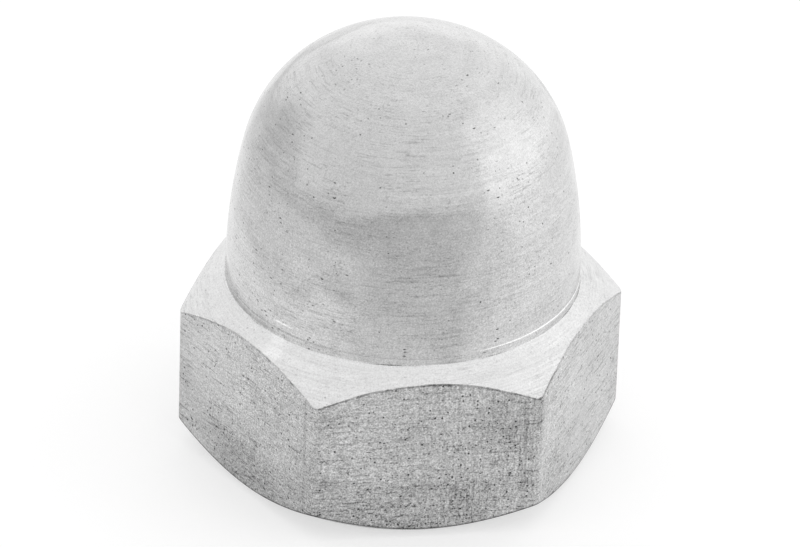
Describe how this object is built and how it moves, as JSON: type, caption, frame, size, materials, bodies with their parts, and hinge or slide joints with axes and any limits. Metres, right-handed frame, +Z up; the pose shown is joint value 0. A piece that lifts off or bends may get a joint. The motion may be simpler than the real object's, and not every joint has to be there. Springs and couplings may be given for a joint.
{
  "type": "cap nut",
  "caption": "High domed hexagon cap nut in plain turned steel, with a chamfered seat, a smooth closed dome and a blind threaded hole.",
  "frame": {"origin": "centre of the flat seat, where the thread's axis leaves the nut", "axes": "+Z up the thread's axis towards the crown of the dome, with one flat of the hexagon facing -Y"},
  "size_m": [0.0148, 0.013, 0.0151],
  "materials": {
    "steel": "Plain bright steel: fine turning marks round the dome and the chamfer, and a duller, speckled drawn-bar skin on the six flats."
  },
  "bodies": {
    "root": {"cap_nut": "steel"}
  },
  "joints": []
}
